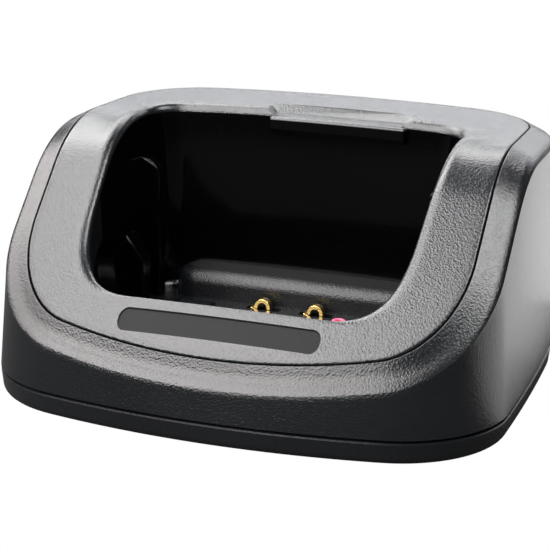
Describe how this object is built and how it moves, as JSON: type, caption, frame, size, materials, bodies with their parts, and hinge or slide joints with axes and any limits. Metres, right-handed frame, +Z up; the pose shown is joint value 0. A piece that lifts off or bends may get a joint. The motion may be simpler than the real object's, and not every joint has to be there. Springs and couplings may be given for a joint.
{
  "type": "desktop charging cradle",
  "caption": "Low drop-in charging cradle for a handheld radio: a sloped black housing with a deep pocket, sprung charging contacts and a status light.",
  "frame": {"origin": "on the table under the middle of the cradle", "axes": "+X to the user's right, +Y to the back, +Z up; the pocket slopes down to the front at -Y"},
  "size_m": [0.094, 0.0818, 0.0478],
  "materials": {
    "shell_plastic": "fine moulded grain on the sloped face, gloss inside the pocket",
    "base_plastic": "satin",
    "foot_rubber": "matt",
    "screw_steel": "plated",
    "contact_gold": "polished, gold flash",
    "package_black": "satin",
    "tinned_metal": "tinned",
    "board_green": "solder mask",
    "led_lens": "clear tinted",
    "capacitor_sleeve": "shrink sleeve",
    "winding_copper": "enamelled wire",
    "ceramic": "glazed"
  },
  "bodies": {
    "cradle": {"outer_shell": "shell_plastic", "pocket_bezel": "shell_plastic", "base_cover": "base_plastic", "rubber_foot_1": "foot_rubber", "rubber_foot_2": "foot_rubber", "rubber_foot_3": "foot_rubber", "rubber_foot_4": "foot_rubber", "base_screw_1": "screw_steel", "base_screw_2": "screw_steel", "base_screw_3": "screw_steel", "base_screw_4": "screw_steel", "board_screw_1": "screw_steel", "board_screw_2": "screw_steel", "contact_base_left": "package_black", "contact_base_right": "package_black", "dc_jack_housing": "package_black", "charge_controller": "package_black", "rectifier_diode": "package_black", "power_transistor": "package_black", "dc_jack_pin": "tinned_metal", "led_lead_1": "tinned_metal", "led_lead_2": "tinned_metal", "charger_board": "board_green", "status_led": "led_lens", "capacitor_1": "capacitor_sleeve", "capacitor_2": "capacitor_sleeve", "inductor": "winding_copper", "chip_resistor_1": "ceramic", "chip_resistor_2": "ceramic", "chip_resistor_3": "ceramic", "chip_resistor_4": "ceramic"},
    "contact_left": {"contact_leaf_left": "contact_gold"},
    "contact_right": {"contact_leaf_right": "contact_gold"},
    "jack_leaf": {"dc_jack_leaf": "tinned_metal"}
  },
  "joints": [
    {"name": "contact_left_press", "type": "hinge", "parent": "cradle", "child": "contact_left", "pos_m": [0.0012, 0.0029, 0.0077], "axis": [0, -1, 0], "range_deg": [0, 12], "stiffness_Nm_per_rad": 0.03},
    {"name": "contact_right_press", "type": "hinge", "parent": "cradle", "child": "contact_right", "pos_m": [0.0116, 0.0029, 0.0077], "axis": [0, -1, 0], "range_deg": [0, 12], "stiffness_Nm_per_rad": 0.03},
    {"name": "jack_leaf_press", "type": "hinge", "parent": "cradle", "child": "jack_leaf", "pos_m": [0, 0.0292, 0.0088], "axis": [-1, 0, 0], "range_deg": [0, 6], "stiffness_Nm_per_rad": 0.03}
  ]
}
